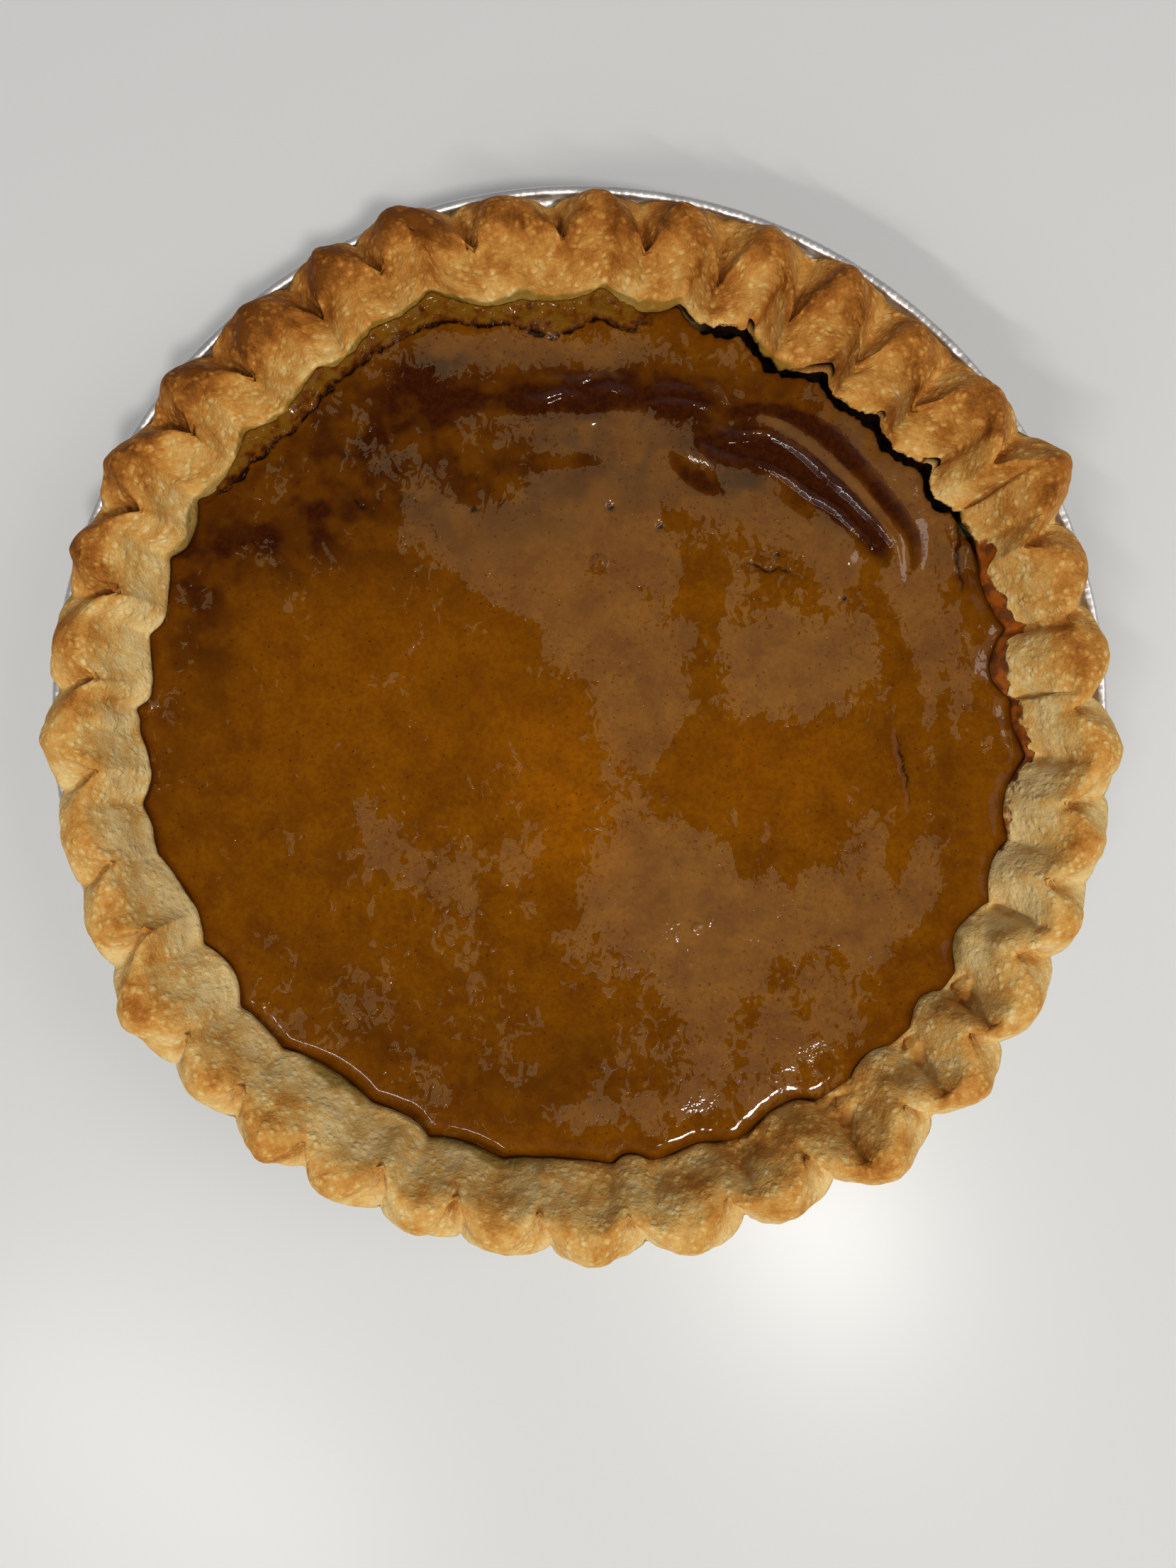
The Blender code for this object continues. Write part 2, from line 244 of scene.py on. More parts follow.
class Rim:
    """The fluted rim, sampled PER_FLUTE times a flute: each value is an array round the pie."""

    def __init__(self):
        bulge, reach, pinch, ridge, ledge = np.array(FLUTES).T
        before = np.roll(pinch, 1)
        before[0] -= 360
        phase = np.arange(PER_FLUTE) / PER_FLUTE
        turn = np.where(
            phase < 0.5,
            before[:, None] + (bulge - before)[:, None] * 2 * phase,
            bulge[:, None] + (pinch - bulge)[:, None] * (2 * phase - 1),
        )
        degrees = turn.ravel()
        self.angle = np.radians(degrees)
        self.phase = np.tile(phase, len(FLUTES))
        self.reach = np.interp(degrees, bulge, reach, period=360) * MM
        self.pinch = np.interp(degrees, pinch, ridge, period=360) * MM
        self.ledge = np.interp(degrees, pinch, ledge, period=360) * MM
        around = ring(self.angle, INNER_R, 0.0)
        # Unevenness of the ridge, and of the torn edge
        self.wander = noise_at(around, 9 * MM, 2, seed=4)
        self.ragged = noise_at(around, 2.2 * MM, 3, seed=7)

        # Along the shore: the nearest notch and lobe, and how close to the notch each place is
        places, radii = np.array(SHORE).T
        before_it = np.searchsorted(places, (degrees + 180) % 360 - 180, side="right") - 1
        after_it = (before_it + 1) % len(places)
        near = (degrees - places[before_it]) % 360 / ((places[after_it] - places[before_it]) % 360)
        starts = before_it % 2 == 0
        notch, lobe = np.where(starts, before_it, after_it), np.where(starts, after_it, before_it)
        near = np.where(starts, near, 1 - near)
        sharp = (1 - near) ** 1.9
        shift = CRUST_SHIFT[0] * np.cos(self.angle) + CRUST_SHIFT[1] * np.sin(self.angle)
        self.widest = WALL_LIMIT - shift
        shore = soften(radii[lobe] + (radii[notch] - radii[lobe]) * sharp, 1) * MM
        self.shore = np.minimum(shore, self.widest)
        self.notch = sharp * np.clip((radii[notch] - radii[lobe]) / 3, 0.1, 1.5)
        self.from_notch = np.radians((degrees - places[notch] + 180) % 360 - 180) * INNER_R
        cleft = np.clip((radii[notch] - radii[lobe] - 1.2) / 3.5, 0, 1.4)
        self.cleft = cleft * (1 - hills(self.angle, CREASE_SOFT))

        # The nearest pinch, how far away it is, and two chances that each pinch has of its own
        nearest = np.where(self.phase >= 0.5, np.repeat(pinch, PER_FLUTE), np.repeat(before, PER_FLUTE))
        self.from_pinch = np.radians(degrees - nearest) * LEDGE_R
        spot = ring(np.radians(nearest), INNER_R, 0.0)
        self.lean = noise_at(spot, 6 * MM, 1, seed=5)
        self.long = noise_at(spot, 6 * MM, 1, seed=6)

    def out(self, level):
        """1 on a bulge and 0 at a pinch; the pinches lean back on their way up to the ridge."""
        shift = 0.07 - 0.17 * level
        return np.abs(np.sin(np.pi * (self.phase - shift * np.cos(np.pi * self.phase) ** 2)))

    def crest(self):
        """Radius and height of the ridge, which is higher on a flute that reaches further."""
        out = self.out(1.0)
        radius = self.pinch + (self.reach - ROLL - self.pinch) * out**1.1
        taller = TALLER * (self.reach - np.mean(self.reach))
        height = CREST_Z - PINCH_DROP + (PINCH_DROP + taller) * out
        return radius, height + 0.5 * MM * self.wander

    def outside(self, level):
        """Radius and height of the outer face, from its widest line at 0 up to the ridge at 1."""
        crest_r, crest_z = self.crest()
        out = self.out(level)
        bulge_r = self.reach - ROLL * (1 - math.sqrt(1 - level**2))
        pinch_r = self.pinch + (self.ledge - self.pinch) * (1 - level) ** 2.0
        edge_z = LEDGE_Z + (EDGE_Z - LEDGE_Z) * out
        radius = pinch_r + (bulge_r - pinch_r) * out ** (0.52 + 0.58 * level)
        return np.maximum(radius, crest_r), edge_z + (crest_z - edge_z) * level

    def fold(self, share):
        """How deep the fold at each pinch is, 0 to 1: it runs in over the ridge and fades on the slope."""
        if share > 1:
            path = FOLD_SHIFT * (share - 1) - 0.6 * FOLD_SHIFT
        else:
            path = (FOLD_LEAN * self.lean - FOLD_SHIFT) * (1 - share) - 0.6 * FOLD_SHIFT
        width = FOLD_WIDTH * (1 + 0.6 * max(0, 1 - share))
        start = FOLD_START + 0.5 * self.long
        along_it = smooth(start - 0.3, start + 0.35, share) * (1 - smooth(1.55, 1.95, share))
        along_it *= 1 - hills(self.angle, FOLD_SOFT)
        return along_it * np.exp(-np.abs((self.from_pinch - path) / width) ** 1.5)

    def crease(self, share):
        """How deep the crease above each notch is: it runs up the inside slope and fades on the ridge."""
        path = CREASE_LEAN * share * (1 + self.lean)
        width = CREASE_WIDTH * (0.8 + 0.7 * share)
        along_it = smooth(0.0, 0.3, share) * (1 - smooth(0.45 + 0.35 * self.cleft, 1.15, share))
        return along_it * self.cleft * np.exp(-np.abs((self.from_notch - path) / width) ** 1.3)

    def inside(self, share):
        """Radius and height of the inside slope, from the filling at 0 up to the ridge at 1."""
        crest_r, crest_z = self.crest()
        crease = CREASE + hills(self.angle, CREASE_UNEVEN)
        plump = PLUMP + hills(self.angle, PLUMP_UNEVEN) - crease * self.notch
        pillow = math.sin(share * math.pi / 2)
        gentle = (1 - math.cos(share * math.pi)) / 2
        rise = gentle + (pillow - gentle) * plump
        return self.shore + (crest_r - self.shore) * share, FILL_Z + (crest_z - FILL_Z) * rise


def soften(values, reach):
    """Round values evened out over their neighbours up to a number of places away."""
    kernel = np.hanning(2 * reach + 3)
    wrapped = np.concatenate([values[-reach - 1 :], values, values[: reach + 1]])
    return np.convolve(wrapped, kernel / kernel.sum(), "valid")


def ring(angle, radius, height, centre=(0.0, 0.0)):
    """A row of points round the pie."""
    radius = np.broadcast_to(radius, angle.shape)
    height = np.broadcast_to(height, angle.shape)
    return np.stack(
        [centre[0] + radius * np.cos(angle), centre[1] + radius * np.sin(angle), height], 1
    )


def grid_normals(grid):
    """Outward normals of rows of points that start inside the pie and go round anticlockwise."""
    along = np.gradient(grid, axis=0)
    around = np.roll(grid, -1, 1) - np.roll(grid, 1, 1)
    normal = np.cross(along, around)
    return normal / np.maximum(np.linalg.norm(normal, axis=2, keepdims=True), 1e-12)


def add_mesh(name, verts, faces, material, looks=()):
    """A smooth-shaded piece that rides on the pie. Its looks are float attributes by name, which are
    0 at the vertices that their values don't reach."""
    mesh = bpy.data.meshes.new(name)
    mesh.from_pydata(verts, [], faces)
    mesh.validate()
    for title, values in dict(looks).items():
        padded = np.zeros(len(verts), dtype=np.float32)
        padded[: values.size] = values.ravel()
        mesh.attributes.new(title, "FLOAT", "POINT").data.foreach_set("value", padded)
    mesh.shade_smooth()
    piece = bpy.data.objects.new(name, mesh)
    bpy.context.scene.collection.objects.link(piece)
    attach(piece, "root")
    mesh.materials.append(material)
    return piece


def closed_rows(grid, first, last):
    """Vertices and faces of a closed body from rows of points round it and a point at each end."""
    rows, count = grid.shape[:2]
    verts = grid.reshape(-1, 3).tolist() + [list(first), list(last)]
    here = np.arange(count)
    after = np.roll(here, -1)
    faces = []
    for row in range(rows - 1):
        low, high = row * count, (row + 1) * count
        quads = np.stack([low + here, low + after, high + after, high + here], 1)
        faces += quads.tolist()
    end = rows * count
    faces += np.stack([after, here, np.full(count, end)], 1).tolist()
    top = (rows - 1) * count
    faces += np.stack([top + here, top + after, np.full(count, end + 1)], 1).tolist()
    return verts, faces


def make_crust():
    """The pastry: floor, wall, creased inside slope, rolled ridge and the flutes' outer faces."""
    rim = Rim()
    angle, centre = rim.angle, CRUST_SHIFT
    gap = undercut(angle)
    rows, share_of = [], []

    def add(radius, height, share, where=(0.0, 0.0)):
        rows.append(ring(angle, radius, height, where))
        share_of.append(share)

    add(FLOOR_R, FLOOR_TOP, -1.0)
    add(WALL_R - 4 * MM, WALL_Z - 7 * MM, -0.9, centre)
    add(WALL_R, WALL_Z, -0.6, centre)
    for depth in UNDERCUT_DEPTHS:
        back = gap * min(1.0, depth / 1.2) * UNDERCUT
        under = np.minimum(rim.shore + back, rim.widest - (0.2 + 0.46 * depth) * MM)
        add(under, FILL_Z - depth * MM + gap * 0.4 * MM, -depth / 10, centre)
    for share in np.linspace(0, 1, INSIDE_ROWS) ** 0.9:
        radius, height = rim.inside(share)
        lip = gap * (1 - share) ** 4
        radius -= lip * (0.4 + rim.ragged) * MM
        add(radius, height + lip * (0.4 + 0.5 * rim.ragged) * MM, share, centre)
    for level in 1 - np.linspace(0, 1, OUTSIDE_ROWS)[1:] ** 1.2:
        radius, height = rim.outside(level)
        add(radius, height, 2 - level, centre)
    edge, edge_z = rim.outside(0.0)
    for turn in np.radians((20, 40, 60, 80)):
        tuck = 2.4 * MM * (1 - math.cos(turn))
        low = (edge_z - FOOT_Z - 0.3 * MM) * math.sin(turn)
        add(edge - tuck, edge_z - low, 2 + turn / 4, centre)
    lean = edge + centre[0] * np.cos(angle) + centre[1] * np.sin(angle)
    foot = np.minimum(FOOT_R, lean - 2.8 * MM)
    flange = FLANGE_Z + FOIL + CONTACT
    add(foot, FOOT_Z, 3.0)
    add(foot - 0.3 * MM, flange, 3.0)
    add(WALL_TOP_R + 0.6 * MM, flange, 3.0)
    add(WALL_TOP_R - 1.0 * MM, FLANGE_Z - BEAD_R, 3.0)
    add(BASE_R + BASE_CORNER - 1.0 * MM, BASE_CORNER, 3.0)
    add(BASE_R - 0.8 * MM, FOIL + CONTACT, 3.0)

    grid = np.array(rows)
    share = np.broadcast_to(np.array(share_of)[:, None], grid.shape[:2])
    normal = grid_normals(grid)
    shown = smooth(-0.5, 0.0, share) * (1 - smooth(2.2, 2.7, share))
    fold = np.array([rim.fold(value) for value in share_of])
    crease = np.array([rim.crease(value) for value in share_of])
    relief = np.zeros(share.shape)
    for height, grain, octaves, seed in DOUGH_RELIEF:
        relief += height * noise_at(grid, grain * MM, octaves, seed)
    relief = relief * shown * MM - fold * FOLD_DEPTH - crease * CREASE_DEPTH
    grid += normal * relief[..., None]
    # Over the tin's wall and flange the folds and creases stay above the foil.
    reach = np.hypot(grid[..., 0], grid[..., 1])
    rises = (WALL_LIMIT + 0.2 * MM, WALL_TOP_R - 1.6 * MM)
    lowest = np.interp(reach, rises, (0.0, flange + 0.7 * MM))
    over = (share > 0) & (share <= 2)
    grid[..., 2] = np.where(over, np.maximum(grid[..., 2], lowest), grid[..., 2])

    rise = np.clip((grid[..., 2] - FILL_Z) / (CREST_Z - FILL_Z), 0, 1.1)
    # Painted shade: the folds and creases are painted browner, on top of the baking.
    bake_and_shade = crust_bake_and_shade(grid, angle, share, rise, rim) + 0.35 * fold + 0.25 * crease
    stain_and_shade = crust_stain_and_shade(grid, angle, share)
    glaze = crust_glaze(grid, angle, share)
    # Painted shadow: the wall under the crust's torn edge, below the filling's level, is painted near
    # black.
    painted_gap_shadow = gap * (1 - smooth(-0.06, 0.02, share))
    verts, faces = closed_rows(grid[::-1], (0, 0, FOIL + CONTACT), (0, 0, FLOOR_TOP))
    looks = {"bake_and_shade": bake_and_shade[::-1], "stain_and_shade": stain_and_shade[::-1], "glaze": glaze[::-1], "painted_gap_shadow": painted_gap_shadow[::-1]}
    crust = add_mesh("crust", verts, faces, pastry_material(), looks)
    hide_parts("pastry_crust")


def span(angle, limits):
    """1 between two angles given in degrees and 0 outside them, with soft ends."""
    first, last, soft = limits
    middle, half = (first + last) / 2, (last - first) / 2
    away = np.abs((np.degrees(angle) - middle + 180) % 360 - 180)
    return 1 - smooth(half - soft, half + soft, away)


def undercut(angle):
    """How far the crust's edge stands free of the filling, 0 to 1."""
    return span(angle, GAP_SPAN)


def crust_bake_and_shade(grid, angle, share, rise, rim):
    """How brown the pastry is, 0 to 1, with painted shade on its outer faces at the upper left."""
    bake_and_shade = 0.12 + 0.40 * rise**1.6 + hills(angle, BROWNED) * smooth(-0.4, 1.0, share)
    bake_and_shade += 0.12 * smooth(0.5, 1.0, share) * rim.out(0.5)
    bake_and_shade += hills(angle, PAINTED_SHADE_OUTSIDE) * smooth(0.85, 1.15, share)
    bake_and_shade += hills(angle, BROWNED_IN) * (1 - smooth(0.2, 0.7, share))
    bake_and_shade += 0.14 * noise_at(grid, 11 * MM, 3, seed=11)
    return np.clip(bake_and_shade, 0, 1)


def crust_stain_and_shade(grid, angle, share):
    """How much pumpkin has soaked into the foot of the inside slope; it also stands as painted shade where
    the crust meets the filling.
    """
    wander = 0.06 * noise_at(grid, 5 * MM, 2, seed=12)
    return hills(angle, STAINS_AND_SHADE) * (1 - smooth(0.03, 0.2, share + wander)) * smooth(-1.0, -0.5, share)


def crust_glaze(grid, angle, share):
    """How much dark syrup has boiled over onto the inside slope."""
    wander = 0.16 * noise_at(grid, 6 * MM, 3, seed=13)
    return hills(angle, GLAZES) * (1 - smooth(0.0, 0.32, share + wander))


def disc_grid(count):
    """Even points over a disc as arrays of radius, 0 to 1, and angle, from a square grid."""
    line = np.linspace(-1, 1, count + 1)
    a, b = np.meshgrid(line, line)
    wide = np.abs(a) > np.abs(b)
    radius = np.where(wide, a, b)
    safe_a, safe_b = np.where(a == 0, 1, a), np.where(b == 0, 1, b)
    turn = np.where(wide, b / safe_a, 2 - a / safe_b) * math.pi / 4
    x, y = radius * np.cos(turn), radius * np.sin(turn)
    return np.hypot(x, y), np.arctan2(y, x)


def border(index):
    """The border of a square array, anticlockwise."""
    return np.concatenate([index[0, :-1], index[:-1, -1], index[-1, :0:-1], index[:0:-1, 0]])


def curve(points, steps=24):
    """A smooth line through a few (x, y) points given in millimetres."""
    p = np.array(points, dtype=float) * MM
    p = np.vstack([2 * p[0] - p[1], p, 2 * p[-1] - p[-2]])
    t = np.linspace(0, 1, steps, endpoint=False)[:, None]
    runs = []
    for a, b, c, d in zip(p, p[1:], p[2:], p[3:]):
        runs.append(b + 0.5 * t * (c - a + t * (2 * a - 5 * b + 4 * c - d + t * (3 * (b - c) + d - a))))
    return np.vstack([*runs, p[-2:-1]])


def along(x, y, points):
    """Each place's distance from a curve and how far along it the nearest point lies, 0 to 1."""
    path = curve(points)
    best = np.full(x.shape, 1.0)
    where = np.zeros(x.shape)
    for i, (px, py) in enumerate(path):
        away = np.hypot(x - px, y - py)
        nearer = away < best
        best = np.where(nearer, away, best)
        where = np.where(nearer, i / (len(path) - 1), where)
    return best, where


def ridge(x, y, points, width, sharp=2.0):
    """A soft ridge along a curve, 1 on it and 0 a few widths away, that tapers at both ends."""
    away, where = along(x, y, points)
    taper = np.sqrt(np.clip(np.sin(np.pi * (0.04 + 0.92 * where)), 0, 1))
    return taper * np.exp(-((away / (width * MM * (0.35 + 0.65 * taper))) ** sharp))


# Folds in the filling's skin: the points of each, its width and its height, in millimetres.
WRINKLES = (
    (
        ((28.4, 57.7), (38, 59.3), (45.3, 56.6), (53.7, 49.3), (59.1, 44.3), (66.4, 36.2), (68.3, 28.6)),
        1.1, 1.1,
    ),
    (((35.3, 54.3), (43, 50.8), (48.8, 46.6), (54.5, 43.1), (62.2, 35.5)), 1.1, 1.2),
    (((38.4, 62.9), (44.5, 60), (53.7, 52.7), (63, 42.4), (67.9, 35.5)), 1.7, 0.7),
    (((50.3, 62.8), (57.3, 57.6), (66, 47.4), (71.5, 38.3), (72, 30.3)), 1.8, 0.6),
    (((21.5, 58.5), (23.4, 55.4), (27.7, 53.5), (33, 51)), 1, 0.9),
    (((24.5, 58), (29.5, 55.2), (35.5, 53.4)), 0.9, 0.8),
    (((27, 61.5), (34, 59.4), (40, 59.8)), 1.1, 0.7),
    (((2, 68.5), (7, 69.4), (12, 67.4)), 1.2, 0.9),
    (((-7.5, 72.2), (-1, 70.9), (5, 72.2), (11, 70.8)), 1.1, 0.7),
    (((-13, 67.7), (-8, 67), (-3, 68.3), (3, 66.2)), 1.1, 0.8),
    (((14.5, 68.9), (20, 69.6), (26, 68.2)), 1, 0.8),
    (((14, 66), (20, 66.4), (28, 65)), 1, 0.9),
    (((26.5, 70.6), (29.5, 68.7), (31.5, 65.5)), 1.1, 1),
    (((-3, 63), (1.5, 61.9), (6, 62.9)), 1, 0.6),
    (((57.5, 35.5), (57, 31.5)), 1.2, 0.7),
)
# Cracks and slits in it: the points of each, its width and its depth.
CRACKS = (
    (((34.2, 31.5), (37, 31.9), (40, 30.3), (43.5, 30.6), (48.5, 28.8)), 0.5, 0.8),
    (((-49.3, 47.6), (-46.5, 44), (-43.2, 43.1)), 0.5, 0.7),
    (((-43.2, 43.1), (-46.6, 38.4), (-52.3, 31)), 0.6, -0.4),
    (((-14.7, 36.3), (-6, 36.9), (2, 35.2), (12.4, 32.5)), 0.8, -0.25),
    (((67.3, -2.8), (68.3, -8.8), (69.6, -14.1), (70.3, -21.6)), 0.5, 0.7),
    (((-57, 1.5), (-58, -3), (-57, -8.5)), 0.6, -0.3),
    (((79.8, 43.1), (80.7, 37), (80.4, 34), (81.1, 27.4), (82.2, 23.5)), 0.5, 0.7),
)
# Pin holes: the place, the radius and the height.
PITS = (
    (6.7, 44.1, 0.9, -0.9), (17.2, 40, 0.8, -0.9), (42.2, 34, 0.7, -0.8),
    (56.5, 24.6, 0.7, -0.9), (-22.5, 43.6, 0.9, -0.5),
)
# Bubbles: the place, the radius and the height.
BUBBLES = (
    (4.1, 32.1, 1.8, 1.1), (-89.8, -15.8, 1, 0.7), (-90.7, 2, 0.9, 0.6),
    (-67, -61.2, 0.9, 0.6), (25, -45.6, 1, 0.5), (27.8, -44.2, 0.8, 0.4),
    (20.5, -47, 0.7, 0.4),
)

# How far the wet film spreads, as soft blobs: the middle, the two radii, the turn and the weight.
# The film is glossy and also carries a painted reflection, a paler colour added to it.
FILM_AND_REFLECTION = (
    (-8, 39, 22, 14, 0, 1.2), (-27, 37, 9, 14, 15, 0.7), (12, 50, 14, 12, 0, 1),
    (5, 18, 18, 17, -25, 1.2), (14, -2, 9, 14, -10, 0.9), (46, 11, 17, 13, -10, 1.6),
    (74, 24, 8, 20, 12, 1.1), (73, -15, 5, 26, -4, 1), (61, -48, 7, 19, -28, 1.1),
    (76, -50, 5, 20, -28, -1), (16, -36, 15, 17, 0, 1.3), (36, -44, 22, 11, 10, 1.2),
    (30, -68, 27, 13, 10, 0.75), (57, -28, 8, 12, 0, 0.7), (-34, -31, 19, 14, 0, 0.55),
    (-5, 77, 32, 4, 0, 0.9), (-4, 62, 17, 8, 0, 0.6), (21, 67, 7, 3.2, -5, -0.9),
    (4, 69, 8, 2.2, 0, -0.7), (66, 53, 5, 24, 42, 1.2), (31, 56, 5, 4, -30, -0.9),
    (30, 47, 12, 6, -20, 0.8), (50, 36, 12, 6, -38, 0.9), (8, -84, 36, 3, 5, 0.6),
    (-60, -52, 18, 3, -42, 0.35), (33, -21, 1.6, 5, 8, 1.3), (40, -24, 1.6, 4, -5, 1.2),
    (49, -19, 1.5, 4, 0, 1.2), (58, -16, 2, 5, -10, 1), (42, -13, 20, 10, 0, -1.7),
    (35, -29, 2.6, 10, 4, -0.9), (44.5, -29, 2.4, 8, 0, -0.9), (53, -22, 2.2, 8, 0, -0.7),
    (67, 14, 3, 13, 17, -1.3), (71, -10, 2.4, 15, 5, -1.2), (68, -30, 2.4, 10, -12, -1),
    (27, 25, 5, 6, 0, -1), (26, 9, 4, 7, 0, -0.9), (77, -2, 1.6, 17, -5, -0.7),
    (4.5, 31, 5, 4, 0, -1), (-2, 53.5, 8, 2, 5, -1.1), (20, 41, 2.5, 3, 0, -0.9),
    (55, -55, 9, 10, 20, -0.6), (-44, 30, 30, 24, 0, -0.12), (-22, 0, 24, 20, 0, -0.4),
    (-62, -18, 20, 26, 0, -0.2), (-28, -36, 13, 10, -20, 0.3), (-20, 50, 11, 7, 0, -0.8),
    (-47, 69, 10, 5, 40, 0.5), (-62, 49, 10, 5, 45, 0.5), (-26, 76, 9, 4, 5, 0.6),
    (-50, 40, 9, 4, 60, 0.45), (-20, 22, 12, 2.5, -32, -0.9),
)
# Long streaks beside the wrinkles: the points, the width, how much more film, glossy and with its
# painted reflection, and how much darker.
STREAKS = (
    (((30, 57.5), (41.5, 54.9), (51.4, 48), (61, 39.3), (65, 33)), 3.2, -2.4, 1),
    (((38.4, 62.9), (44.5, 60), (53.7, 52.7), (63, 42.4), (67.9, 35.5), (69.9, 30.9)), 1.3, 2.2, -0.4),
    (
        ((33, 63.9), (39.9, 64.6), (50.3, 60.8), (60.3, 51.2), (69.5, 39.3), (71.4, 33.9), (70, 29)),
        1.7, -2.2, 0.6,
    ),
    (((19.2, 54.7), (24.6, 50.1), (30, 47)), 2, -2, 0.4),
    (((29, 52), (35, 49.6), (41, 48.3)), 1.8, 1.6, 0.2),
    (((43.4, 45.8), (46.5, 44.4), (48.8, 41.9)), 1.2, -1.8, 0.1),
    (((15, 67.6), (22, 66), (29, 66.5)), 2.4, -1.8, 0.7),
    (((-22, 66), (-8, 67), (2, 66.6), (13, 66.4)), 2.8, -1.9, 0.6),
)
# Where the filling has browned darkest.
DARKS = (
    (-31, 71, 9, 7, 0, 0.7), (-45, 58, 22, 11, 35, 0.52), (-64, 56, 24, 6, 45, 0.4),
    (-82, 28, 6, 18, 20, 0.3), (0, 70, 40, 10, 0, 0.62), (-4, 52, 44, 14, 0, 0.6),
    (38, 46, 30, 16, -42, 0.2), (62, 60, 24, 8, -42, 0.3), (21, 67, 8, 4, -5, 0.8),
    (3, 69, 9, 3, 0, 0.5), (31, 55, 7, 5, -30, 0.8), (52, 51, 25, 9, -42, 0.65),
    (-66, 36, 15, 8, 15, 0.75), (-40, 34, 34, 22, 0, 0.42), (-78, 10, 8, 30, 5, 0.4),
    (-88, 0, 6, 42, 0, 0.4), (-30, 3, 5, 4.5, 0, 0.45), (0, -79, 44, 10, 0, 0.45),
    (0, -66, 60, 10, 0, 0.2), (-48, -62, 34, 10, -42, 0.35), (78, -2, 4, 26, 0, 0.35),
    (83, 30, 5, 20, 15, 0.4),
)
# Where its skin is pitted and sparkles.
SPARKLES = (
    (-30, 79, 5, 2.5, 20, 0.8), (-14, 80, 9, 2.2, 3, 1), (4, 81, 7, 2.5, -4, 1),
    (19, 80, 6, 2.5, -10, 1), (41, 71, 7, 2, -30, 0.8), (0, 69.5, 10, 3, 0, 0.7),
    (28, 66, 6, 4, 0, 0.7), (66, 52, 3, 11, 38, 0.9), (78, 24, 2.5, 10, 12, 0.8),
    (-5, 46.5, 7, 1.5, 8, 0.5), (20, -46, 9, 3.5, 20, 0.8), (36, -47, 6, 2, 10, 0.6),
    (48, -72, 9, 3, 32, 0.7), (24, -83, 12, 2.5, 14, 0.7), (-88, 4, 2.5, 14, 0, 0.5),
)
# Where it is brightest orange.
HOTS = (
    (-2, -22, 13, 16, 0, 0.8), (-12, -3, 13, 8, 0, 0.15), (0, -8, 10, 10, 0, 0.25),
    (42, -13, 18, 12, 0, 0.5), (-40, 5, 32, 26, 0, 0.3),
)
# Where the painted reflection on the film is brightest.
BRIGHTEST_REFLECTION = ((46, 11, 19, 15, 0, 1), (24, -40, 26, 16, 0, 0.8))


def blobs(x, y, rows):
    """The sum of soft elliptical blobs; each row's sizes are in millimetres and its turn in degrees."""
    total = np.zeros_like(x)
    for cx, cy, rx, ry, turn, weight in rows:
        c, s = math.cos(math.radians(turn)), math.sin(math.radians(turn))
        dx, dy = x / MM - cx, y / MM - cy
        total += weight * np.exp(-(((c * dx + s * dy) / rx) ** 2 + ((c * dy - s * dx) / ry) ** 2))
    return total


def filling_reach(rim):
    """How far the filling reaches round the pie: into the crust, or not quite to its torn edge."""
    free = undercut(rim.angle)
    shrink = hills(rim.angle, SHRUNK) * MM * free
    evened = rim.shore + 0.6 * (soften(rim.shore, PER_FLUTE // 2) - rim.shore) * free
    return evened + FILL_TUCK - shrink - (0.5 - 1.1 * rim.ragged) * MM * free


def sagged(flat, theta, share, inward):
    """Height of the skin, which sags in the middle and rounds off or dips at the crust, and the dips."""
    uneven = 1 + 0.35 * noise_at(flat, 11 * MM, 2, seed=26)
    puckered = smooth(0.5, 3, inward) * smooth(13, 7, inward)
    height = SHOULDER / MM * uneven * smooth(0, 4.8, inward)
    height += 0.06 * noise_at(flat, 2.4 * MM, 2, seed=27) * puckered
    height -= (SAG + SHOULDER) / MM * (1 - share**2) ** 1.1
    height += 0.13 * noise_at(flat, 17 * MM, 2, seed=21)
    height += 0.05 * noise_at(flat, 5 * MM, 2, seed=22)
    free, torn = undercut(theta), span(theta, TORN_SPAN)
    dip = hills(theta, DIPS)
    edge_drop = (1.1 + 0.9 * dip) * (1 - smooth(0, 1.5 + 3.0 * dip, inward))
    height -= edge_drop * (1 - free) * (1 - torn)
    height -= GAP_DEPTH * free * (1 - smooth(0, 1.6, inward)) ** 1.5
    return height, dip * np.exp(-(((inward - 3.6) / 1.6) ** 2))


def skin_marks(x, y, flat):
    """Height of the wrinkles, cracks, pin holes and bubbles, then where it folds and where painted shade
    darkens its cracks, pin holes and the foot of each bubble.
    """
    height, fold, crack_shade = np.zeros_like(x), np.zeros_like(x), np.zeros_like(x)
    for points, width, tall in WRINKLES:
        shape = ridge(x, y, points, width)
        height += tall * shape
        fold = np.maximum(fold, shape)
    jagged = 0.7 * MM * noise_at(flat, 1.8 * MM, 2, seed=34)
    for points, width, deep in CRACKS:
        shape = ridge(x + jagged, y - jagged, points, width)
        height -= deep * shape
        crack_shade = np.maximum(crack_shade, shape * (deep > 0))
    for px, py, size, tall in PITS:
        shape = np.exp(-((np.hypot(x / MM - px, y / MM - py) / size) ** 4))
        height += tall * shape
        crack_shade = np.maximum(crack_shade, shape)
    for px, py, size, tall in BUBBLES:
        away = np.hypot(x / MM - px, y / MM - py) / size
        height += tall * np.sqrt(np.clip(1 - away**2, 0, 1))
        crack_shade = np.maximum(crack_shade, 0.6 * np.exp(-(((away - 1.1) / 0.3) ** 2)))
    return height, fold, crack_shade


